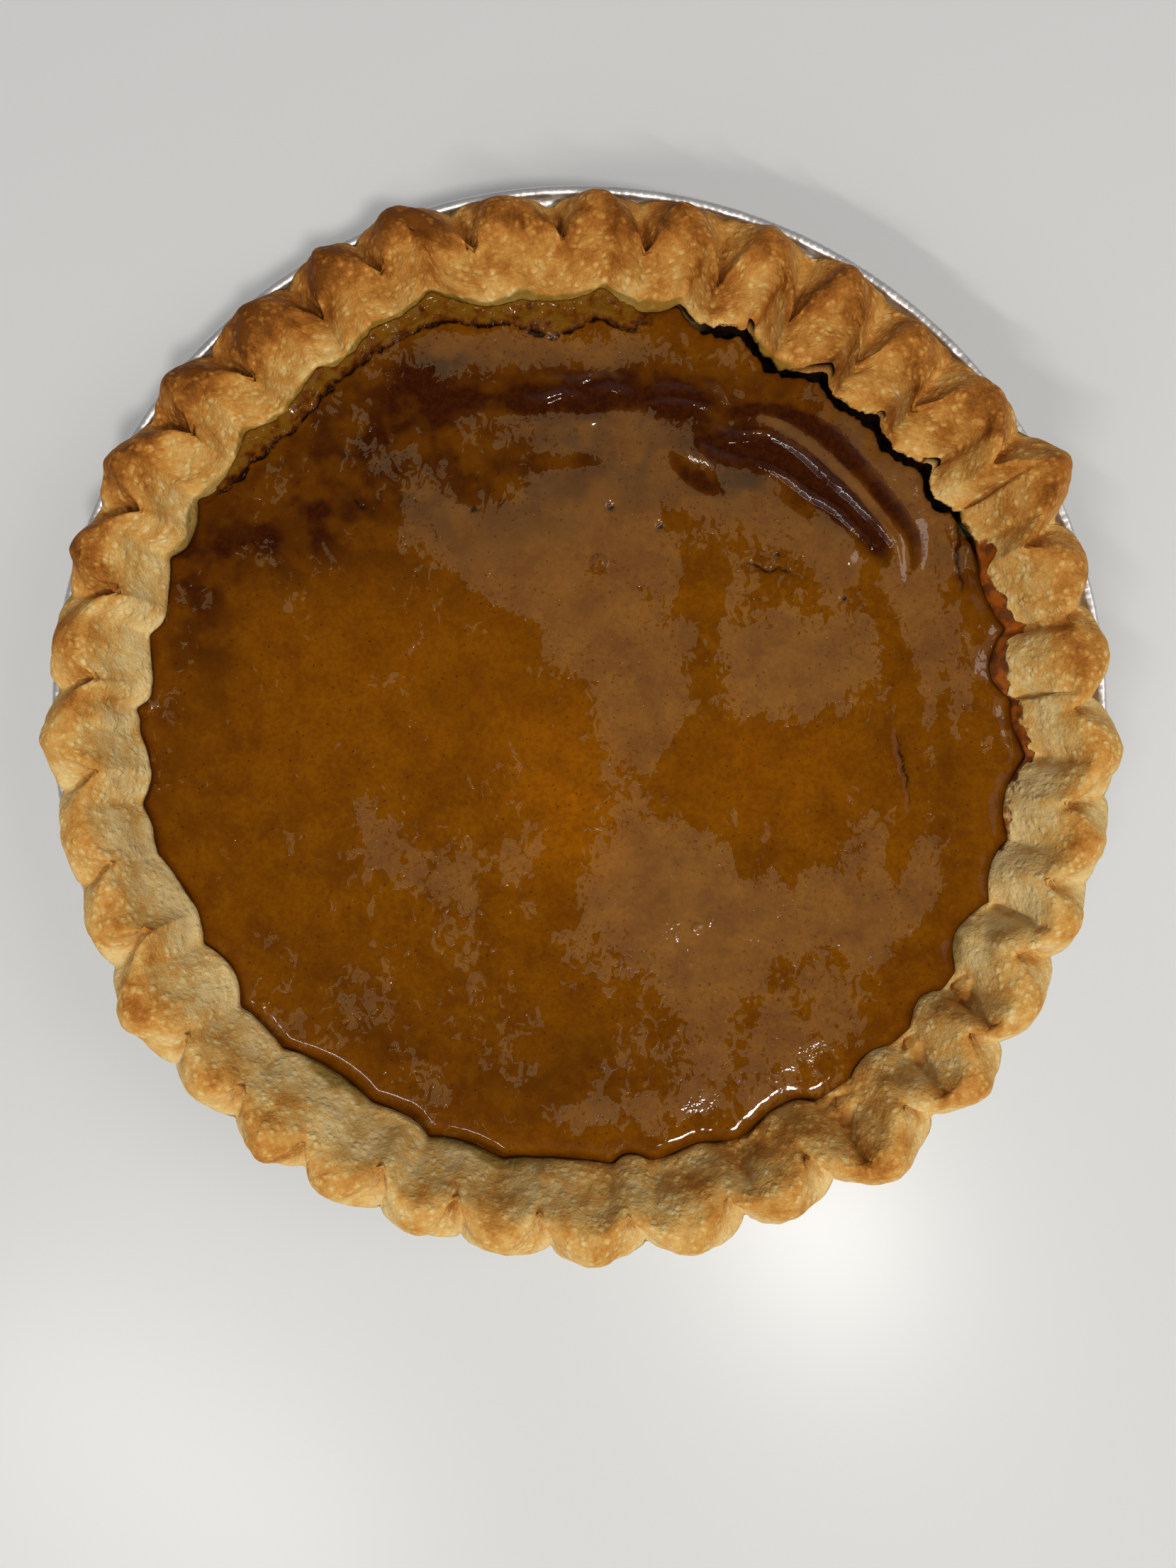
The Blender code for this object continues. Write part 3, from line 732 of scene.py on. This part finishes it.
def torn_strip(flat, theta, radius, inward, rough):
    """Height of the slit where the filling tore and of the crumbly strip outside it, then how much of a
    slit, of the strip and of the lip inside the slit each place is."""
    torn = span(theta, TORN_SPAN)
    past = np.interp(np.degrees(theta), *np.array(TEAR).T) - radius / MM
    past += 0.5 * noise_at(flat, 1.7 * MM, 3, seed=24) + 0.8 * noise_at(flat, 5 * MM, 2, seed=29)
    wide = 0.15 + 0.6 * smooth(-0.4, 0.6, noise_at(flat, 3.5 * MM, 2, seed=23))
    slit = torn * np.exp(-((past / wide) ** 4))
    strip = torn * (1 - smooth(-0.3, 0.1, past))
    lip = torn * np.exp(-(((past - 2.6) / 1.2) ** 2))
    lumps = noise_at(flat, 3 * MM, 3, seed=30)
    crumbly = smooth(-1.8, -0.2, past)
    height = strip * (0.2 + 0.6 * lumps + (0.3 + 0.4 * crumbly) * rough) - 1.9 * slit
    height += 0.9 * torn * (1 - smooth(0, 2.6, inward))
    return height, slit, strip * np.clip(1 - 0.5 * crumbly + 0.8 * lumps, 0.3, 1.2), lip


def filling_body(top):
    """Vertices and faces of the filling's skin, with its side and its floor below."""
    index = np.arange(top.size // 3).reshape(top.shape[:2])
    edge = border(index)
    quads = np.stack([index[:-1, :-1], index[:-1, 1:], index[1:, 1:], index[1:, :-1]], -1)
    faces = quads.reshape(-1, 4).tolist()
    verts = top.reshape(-1, 3).tolist()
    rim_points = top.reshape(-1, 3)[edge]
    turn = np.arctan2(rim_points[:, 1] - CRUST_SHIFT[1], rim_points[:, 0] - CRUST_SHIFT[0])
    body = np.arctan2(rim_points[:, 1], rim_points[:, 0])
    wall = ring(turn, WALL_R - 0.5 * MM, WALL_Z, CRUST_SHIFT)
    floor = ring(body, FLOOR_R - 1 * MM, FILL_FLOOR)
    above = edge
    for row in (wall, floor):
        below = np.arange(len(verts), len(verts) + len(edge))
        verts += row.tolist()
        loop = [above, np.roll(above, -1), np.roll(below, -1), below]
        faces += np.stack(loop, 1)[:, ::-1].tolist()
        above = below
    verts.append([0, 0, FILL_FLOOR])
    faces += [[b, a, len(verts) - 1] for a, b in zip(above, np.roll(above, -1))]
    return verts, faces


def make_filling():
    """The set custard: a glossy skin with folds, cracks and pits over a plain solid body."""
    rim = Rim()
    order = np.argsort(rim.angle % TAU)
    share, theta = disc_grid(FILL_GRID)
    out = np.interp(theta % TAU, (rim.angle % TAU)[order], filling_reach(rim)[order], period=TAU)
    radius = out * (1.07 * share - 0.07 * share**8)
    x = CRUST_SHIFT[0] + radius * np.cos(theta)
    y = CRUST_SHIFT[1] + radius * np.sin(theta)
    inward = (out - radius) / MM
    flat = np.stack([x, y, 0 * x], -1)
    rough = noise_at(flat, 1.3 * MM, 3, seed=25)

    height, trough = sagged(flat, theta, share, inward)
    marks, fold, crack_shade = skin_marks(x, y, flat)
    tear, slit, strip, lip = torn_strip(flat, theta, radius, inward, rough)
    sparkle = blobs(x, y, SPARKLES) + 0.9 * lip
    height += marks + tear + 0.06 * np.minimum(sparkle, 1) * rough
    fold = np.maximum(fold, trough)
    # Painted shade: the slit and the filling's edge under the crust's torn edge are painted near black.
    ragged = inward + 0.5 * noise_at(flat, 2 * MM, 2, seed=28)
    crack_shade = np.maximum.reduce([crack_shade, slit, undercut(theta) * (1 - smooth(0.2, 1.3, ragged))])
    film_and_reflection, dark = blobs(x, y, FILM_AND_REFLECTION), blobs(x, y, DARKS)
    for points, width, more_film_and_reflection, darker in STREAKS:
        shape = ridge(x, y, points, width, 4.0)
        film_and_reflection += more_film_and_reflection * shape
        dark += darker * shape

    verts, faces = filling_body(np.stack([x, y, FILL_Z + height * MM], -1))
    # The side and floor get the same painted shade as the cracks, so that nothing pale shows in the gap.
    below = np.ones(len(verts) - x.size)
    looks = {
        "film_and_reflection": film_and_reflection,
        "dark": dark,
        # How much brighter the painted reflection on the film is.
        "hot": blobs(x, y, HOTS),
        "pale": blobs(x, y, BRIGHTEST_REFLECTION),
        "crack_shade": np.append(crack_shade.ravel(), below),
        "fold": 0.9 * fold**1.5,
        "strip": strip,
        "sparkle": sparkle,
        "inward": np.minimum(inward, 20),
    }
    filling = add_mesh("filling", verts, faces, filling_material(), looks)
    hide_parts("pumpkin_filling")


def pleats(around, angle):
    """The pressed wall's upright pleats, uneven in depth, as a share of their full depth."""
    uneven = 0.6 + 0.5 * noise_at(around, 16 * MM, 2, seed=31)
    wander = angle + 0.02 * noise_at(around, 30 * MM, 2, seed=33)
    return np.abs(np.sin(wander * PLEATS / 2)) * uneven


def make_tin():
    """The foil tin: embossed base, pleated wall, crimped flange and a ribbed rolled bead."""
    angle = np.arange(TIN_COLUMNS) * TAU / TIN_COLUMNS
    around = ring(angle, TIN_R, 0.0)
    pleat = pleats(around, angle)
    crimp = noise_at(around, 2.6 * MM, 2, seed=32)
    corner_r, corner_z = BASE_R + BASE_CORNER, BASE_CORNER
    wall_r, wall_z = WALL_TOP_R, FLANGE_Z - BEAD_R
    bead_r, bead_z = TIN_R - BEAD_R, TIN_H - BEAD_R
    rows = [ring(angle, BASE_R * share, lift * MM) for share, lift in BASE_RINGS]

    def flange_row(share, lift):
        radius = WALL_TOP_R + BEAD_R + (bead_r - WALL_TOP_R - 2 * BEAD_R) * share
        rows.append(ring(angle, radius, FLANGE_Z + lift + crimp * CRIMP * math.sin(math.pi * share)))

    for turn in np.radians((25, 50, 75)):
        radius = BASE_R + BASE_CORNER * math.sin(turn) * 0.8
        rows.append(ring(angle, radius, corner_z * (1 - math.cos(turn))))
    for share in np.linspace(0, 1, 16):
        deep = 0.28 + 0.5 * share
        radius = corner_r + (wall_r - corner_r) * share + pleat * deep * MM
        rows.append(ring(angle, radius, corner_z + (wall_z - corner_z) * share))
    rows.append(ring(angle, WALL_TOP_R + 0.5 * BEAD_R, FLANGE_Z - 0.3 * BEAD_R))
    for share in np.linspace(0.1, 0.92, 5):
        flange_row(share, 0.0)
    ribs = RIB_DEPTH * np.sin(angle * RIBS)
    for turn in np.radians(np.arange(-130, 146, 25)):
        size = BEAD_R + ribs + 0.1 * MM * crimp * max(0.0, math.sin(turn))
        rows.append(ring(angle, bead_r + size * math.cos(turn), bead_z + size * math.sin(turn)))
    for share in np.linspace(0.95, 0.1, 5):
        flange_row(share, FOIL)
    for share in np.linspace(1, 0, 6):
        radius = corner_r - FOIL + (wall_r - corner_r) * share
        rows.append(ring(angle, radius, corner_z + FOIL + (wall_z - corner_z) * share))
    inside = FOIL + 0.3 * MM
    rows.append(ring(angle, BASE_R - FOIL, inside))
    verts, faces = closed_rows(np.array(rows), (0, 0, 0), (0, 0, inside))
    tin = add_mesh("foil_pan", verts, faces, foil_material())
    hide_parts("foil_tin")


def srgb(red, green, blue):
    """A linear colour from its usual 0 to 255 values."""
    parts = [value / 255 for value in (red, green, blue)]
    return tuple(p / 12.92 if p < 0.04045 else ((p + 0.055) / 1.055) ** 2.4 for p in parts)


class Shader:
    """A material under construction: each method adds one node and gives its output socket."""

    def __init__(self, name):
        self.material = bpy.data.materials.new(name)
        self.material.use_nodes = True
        self.tree = self.material.node_tree
        self.surface = self.tree.nodes["Principled BSDF"]
        self.place = self.tree.nodes.new("ShaderNodeTexCoord").outputs["Object"]

    def node(self, kind, inputs=(), **settings):
        """Any node, with values or sockets for its inputs by name or number."""
        made = self.tree.nodes.new("ShaderNode" + kind)
        for title, value in settings.items():
            setattr(made, title, value)
        for key, value in dict(inputs).items():
            self.feed(made.inputs[key], value)
        return made

    def feed(self, socket, value):
        """Links a socket to another one, or sets its value."""
        if isinstance(value, bpy.types.NodeSocket):
            self.tree.links.new(value, socket)
        elif isinstance(value, tuple) and len(value) == 3 and socket.type == "RGBA":
            socket.default_value = (*value, 1.0)
        else:
            socket.default_value = value

    def attribute(self, name):
        return self.node("Attribute", attribute_name=name).outputs["Fac"]

    def stretch(self, x, y, z):
        """The place, squeezed along each axis."""
        return self.node("Mapping", {"Vector": self.place, "Scale": (x, y, z)}).outputs["Vector"]

    def noise(self, size, detail=3.0, rough=0.55, place=None, twist=0.0):
        inputs = {
            "Vector": place or self.place, "Scale": 1 / size,
            "Detail": detail, "Roughness": rough, "Distortion": twist,
        }
        return self.node("TexNoise", inputs).outputs["Fac"]

    def cells(self, size, place=None):
        """Distance to the nearest of scattered points; size is their spacing."""
        inputs = {"Vector": place or self.place, "Scale": 1 / size}
        return self.node("TexVoronoi", inputs).outputs["Distance"]

    def math(self, operation, a, b=0.0, c=0.0):
        return self.node("Math", {0: a, 1: b, 2: c}, operation=operation).outputs[0]

    def sway(self, value, noise, weight):
        """A value that a noise about 0.5 moves up and down."""
        return self.math("MULTIPLY_ADD", self.math("SUBTRACT", noise, 0.5), weight, value)

    def step(self, value, low, high, start=0.0, end=1.0):
        """A soft step from start to end as a value goes from low to high."""
        inputs = {"Value": value, 1: low, 2: high, 3: start, 4: end}
        return self.node("MapRange", inputs, interpolation_type="SMOOTHSTEP").outputs["Result"]

    def mix(self, share, a, b, blend="MIX"):
        made = self.node("Mix", data_type="RGBA", blend_type=blend)
        self.feed(made.inputs[0], share)
        self.feed(made.inputs[6], a)
        self.feed(made.inputs[7], b)
        return made.outputs[2]

    def warp(self, size, reach):
        """The place, shifted about by soft noise."""
        drift = self.node("TexNoise", {"Vector": self.place, "Scale": 1 / size}).outputs["Color"]
        middle = self.node("VectorMath", {0: drift, 1: (0.5, 0.5, 0.5)}, operation="SUBTRACT")
        scaled = self.node("VectorMath", {0: middle.outputs[0], "Scale": 2 * reach}, operation="SCALE")
        moved = self.node("VectorMath", {0: self.place, 1: scaled.outputs[0]}, operation="ADD")
        return moved.outputs[0]

    def ramp(self, value, *stops):
        """Colours by value: each stop is a place from 0 to 1 and its colour."""
        made = self.node("ValToRGB", {"Fac": value})
        elements = made.color_ramp.elements
        for _ in stops[2:]:
            elements.new(0.5)
        for element, (place, colour) in zip(elements, stops):
            element.position = place
            element.color = (*colour, 1.0)
        return made.outputs["Color"]

    def bump(self, height, depth, under=None):
        """A bump of a given depth in metres, over another one."""
        inputs = {"Height": height, "Distance": depth, "Strength": 1.0}
        if under is not None:
            inputs["Normal"] = under
        return self.node("Bump", inputs).outputs["Normal"]

    def finish(self, **inputs):
        """Feeds the surface: names with _ for spaces."""
        for title, value in inputs.items():
            self.feed(self.surface.inputs[title.replace("_", " ")], value)
        return self.material


def pastry_material():
    """Baked pastry: pebbled with small pale blisters, browner on its tops, stained at its foot, with
    painted shade in its folds and creases, on its outer faces at the upper left, where it meets the
    filling and under its torn edge.
    """
    s = Shader("pastry")
    patch = s.noise(8 * MM)
    mid = s.noise(2.8 * MM, 2.0, 0.5)
    fine = s.noise(0.6 * MM, 2.0, 0.6)
    warped = s.warp(1.6 * MM, 0.6 * MM)
    blister = s.cells(1.7 * MM, warped)
    dome = s.step(blister, 0.62, 0.05)
    raised = s.step(s.noise(3.4 * MM, 2.0), 0.36, 0.60, 0.15, 1.0)
    pale = s.math("MULTIPLY", dome, raised)
    # Browning, with painted shade in the folds, the creases and the upper-left outer faces.
    browned_and_shade = s.sway(s.attribute("bake_and_shade"), patch, 1.0)
    browned_and_shade = s.sway(browned_and_shade, mid, 0.45)
    browned_and_shade = s.sway(browned_and_shade, fine, 0.4)
    browned_and_shade = s.math("MULTIPLY_ADD", pale, -0.34, browned_and_shade)
    colour = s.ramp(
        browned_and_shade,
        (0.0, srgb(229, 199, 136)),
        (0.22, srgb(218, 174, 100)),
        (0.45, srgb(201, 143, 67)),
        (0.70, srgb(169, 104, 39)),
        (1.0, srgb(112, 62, 16)),
    )
    # Stain of soaked pumpkin, which also stands as painted shade where the crust meets the filling.
    stain_and_shade = s.step(s.math("MULTIPLY_ADD", patch, 0.5, s.attribute("stain_and_shade")), 0.4, 0.85)
    colour = s.mix(s.math("MULTIPLY", stain_and_shade, 0.8), colour, srgb(124, 94, 24))
    glaze = s.step(s.math("MULTIPLY_ADD", s.noise(3 * MM), 0.6, s.attribute("glaze")), 0.62, 0.75)
    syrup = s.mix(s.step(mid, 0.38, 0.6), srgb(94, 34, 0), srgb(150, 70, 0))
    colour = s.mix(s.math("MULTIPLY", glaze, 0.95), colour, syrup)
    # Painted shadow, near black, under the crust's torn edge.
    colour = s.mix(s.attribute("painted_gap_shadow"), colour, srgb(26, 12, 4))
    bare = s.math("SUBTRACT", 1.0, s.math("MULTIPLY", glaze, 0.8))
    normal = s.bump(s.math("MULTIPLY", mid, bare), 0.28 * MM)
    normal = s.bump(s.math("MULTIPLY", pale, bare), 0.24 * MM, normal)
    normal = s.bump(s.math("MULTIPLY", fine, bare), 0.21 * MM, normal)
    gloss = s.math("MULTIPLY", glaze, 0.06)
    bubbled = s.bump(s.noise(1.3 * MM, 2.0), 0.5 * MM)
    return s.finish(
        Base_Color=colour, Roughness=0.62, Normal=normal, Specular_IOR_Level=0.05,
        Coat_Weight=gloss, Coat_Roughness=0.12, Coat_Normal=bubbled,
    )


def filling_material():
    """Set pumpkin custard: orange under a glossy wet film with sharp shores and a painted reflection on
    it, browned in places, with painted shade in its cracks and by the crust.
    """
    s = Shader("pumpkin_filling")
    shore = s.noise(10 * MM, 3.2, 0.52, s.stretch(1.0, 0.68, 1.0), 0.5)
    isles = s.noise(2.5 * MM, 2.0, 0.55, s.stretch(1.0, 0.75, 1.0), 1.0)
    holes = s.noise(0.95 * MM, 2.0)
    film_and_reflection = s.sway(s.attribute("film_and_reflection"), shore, 2.4)
    film_and_reflection = s.sway(film_and_reflection, isles, 1.9)
    holed = s.math("MULTIPLY", s.step(holes, 0.60, 0.64), s.step(film_and_reflection, 1.5, 0.6, 0.0, 0.8))
    wet_and_reflection = s.math("MAXIMUM", s.math("SUBTRACT", s.step(film_and_reflection, 0.37, 0.43), holed), 0.0)
    blotch = s.noise(9 * MM, 5.0, 0.6)
    grain = s.noise(1.1 * MM, 3.0, 0.65)
    colour = s.mix(s.step(blotch, 0.3, 0.7), srgb(100, 52, 1), srgb(125, 71, 1))
    hot = s.math("MULTIPLY", s.attribute("hot"), s.step(s.noise(7 * MM, 4.0), 0.3, 0.7, 0.5, 1.0))
    colour = s.mix(hot, colour, srgb(158, 88, 2))
    mottle = s.noise(2.6 * MM, 4.0, 0.7)
    colour = s.mix(s.step(mottle, 0.46, 0.66, 0.0, 0.3), colour, srgb(132, 84, 6))
    patchy = s.step(s.noise(6 * MM, 2.5, 0.5), 0.34, 0.66, 0.7, 1.25)
    dark = s.math("MULTIPLY", patchy, s.attribute("dark"))
    dark = s.sway(dark, blotch, 0.8)
    colour = s.mix(s.step(dark, 0.05, 1.2), colour, srgb(50, 17, 2))
    colour = s.mix(s.step(grain, 0.42, 0.62, 0.0, 0.3), colour, srgb(84, 38, 2))
    # Painted reflection: a paler colour added on the wet film for the bright surroundings that it
    # reflects.
    painted_reflection = s.math("MULTIPLY_ADD", s.attribute("pale"), 0.03, s.step(blotch, 0.3, 0.7, 0.08, 0.12))
    colour = s.mix(s.math("MULTIPLY", wet_and_reflection, painted_reflection), colour, srgb(160, 136, 78), "ADD")
    speck = s.cells(2.3 * MM)
    speck_on = s.step(speck, 0.13, 0.08)
    colour = s.mix(s.math("MULTIPLY", speck_on, 0.55), colour, srgb(46, 20, 2))
    # Painted shade: the skin darkens within 3.4 mm of the crust, where the crust's shade falls on it.
    rim = s.step(s.attribute("inward"), 0.0, 3.4, 0.7, 0.0)
    colour = s.mix(rim, colour, srgb(64, 28, 2))
    strip = s.attribute("strip")
    crumbs = s.noise(1.4 * MM, 4.0, 0.65)
    baked = s.sway(strip, crumbs, 1.7)
    crumbly = s.ramp(
        baked,
        (0.15, srgb(44, 18, 3)),
        (0.42, srgb(84, 42, 5)),
        (0.7, srgb(108, 60, 7)),
        (1.0, srgb(116, 76, 14)),
    )
    colour = s.mix(s.step(strip, 0.08, 0.3), colour, crumbly)
    # Painted shade: near black in the cracks, pin holes, around the bubbles' feet, in the slit and the
    # gap, and on the side and floor.
    colour = s.mix(s.step(s.attribute("crack_shade"), 0.35, 0.9, 0.0, 0.85), colour, srgb(24, 9, 3))
    skin = s.bump(s.noise(6 * MM, 2.0), 0.08 * MM)
    skin = s.bump(wet_and_reflection, 0.05 * MM, skin)
    pitted = s.math("MULTIPLY", s.noise(0.9 * MM, 2.0), s.attribute("sparkle"))
    skin = s.bump(pitted, 0.15 * MM, skin)
    normal = s.bump(grain, 0.06 * MM, skin)
    normal = s.bump(s.math("MULTIPLY", crumbs, strip), 0.5 * MM, normal)
    rough = s.step(wet_and_reflection, 0.0, 1.0, 0.5, 0.35)
    coat = s.math("MAXIMUM", s.step(wet_and_reflection, 0.0, 1.0, 0.10, 0.8), s.attribute("fold"))
    return s.finish(
        Base_Color=colour, Roughness=rough, Normal=normal, Specular_IOR_Level=0.0,
        Coat_Weight=coat, Coat_Roughness=0.06, Coat_Normal=skin,
    )


def foil_material():
    """Thin bright foil, crumpled a little by the press and by handling."""
    s = Shader("foil")
    crumple = s.noise(5 * MM, 4.0, 0.6)
    brushed = s.noise(1.2 * MM, 2.0, 0.5, s.stretch(1.0, 1.0, 0.2))
    colour = s.mix(crumple, srgb(226, 220, 214), srgb(244, 240, 236))
    normal = s.bump(crumple, 0.25 * MM)
    normal = s.bump(brushed, 0.03 * MM, normal)
    rough = s.step(crumple, 0.2, 0.8, 0.34, 0.5)
    return s.finish(Base_Color=colour, Metallic=1.0, Roughness=rough, Normal=normal)


def table_material():
    """A pale glossy table top."""
    s = Shader("table")
    return s.finish(Base_Color=srgb(221, 221, 219), Roughness=0.28, Specular_IOR_Level=0.22)


def make_table():
    """The plain pale table."""
    bpy.ops.mesh.primitive_plane_add(size=40.0, location=(0, 0, -0.0002))
    table = bpy.context.object
    table.name = "table"
    table.data.materials.append(table_material())


def add_light(name, towards, distance, size, power, colour, thick=None):
    """A round lamp, or a tube of some thickness, that shines on the pie; power is in watts."""
    data = bpy.data.lights.new(name, "AREA")
    data.shape = "RECTANGLE" if thick else "DISK"
    data.size = size
    if thick:
        data.size_y = thick
    data.energy = power
    data.color = colour
    lamp = bpy.data.objects.new(name, data)
    bpy.context.scene.collection.objects.link(lamp)
    direction = Vector(towards).normalized()
    lamp.location = direction * distance
    lamp.rotation_euler = direction.to_track_quat("Z", "Y").to_euler()
    lamp.visible_camera = False


def light_scene():
    """A small lamp and a tube high in front, two broad soft lights and soft grey surroundings."""
    add_light("lamp", (0.338, -0.658, 1.445), 1.62, 0.15, 9.3, (1.0, 0.97, 0.92))
    add_light("tube", (-0.60, -0.99, 1.445), 1.85, 0.7, 7.0, (1.0, 0.98, 0.95), thick=0.05)
    add_light("window", (-0.75, -1.15, 1.3), 1.7, 0.8, 2.6, (1.0, 0.99, 0.98))
    add_light("right_fill", (1.3, 0.1, 1.4), 1.8, 0.9, 5.5, (1.0, 0.99, 0.98))
    world = bpy.data.worlds.new("surroundings")
    world.use_nodes = True
    bpy.context.scene.world = world
    back = world.node_tree.nodes["Background"]
    back.inputs["Color"].default_value = (0.92, 0.95, 1.0, 1)
    back.inputs["Strength"].default_value = 0.26


def add_camera():
    """The camera, which looks straight down."""
    data = bpy.data.cameras.new("camera")
    data.sensor_width = SENSOR
    data.lens = LENS
    data.clip_start = 0.01
    camera = bpy.data.objects.new("camera", data)
    camera.location = CAMERA_AT
    bpy.context.scene.collection.objects.link(camera)
    bpy.context.scene.camera = camera


def main():
    """Builds the scene."""
    add_camera()
    light_scene()
    make_table()
    make_tin()
    make_crust()
    make_filling()
    bpy.context.scene.view_settings.view_transform = "Standard"


main()
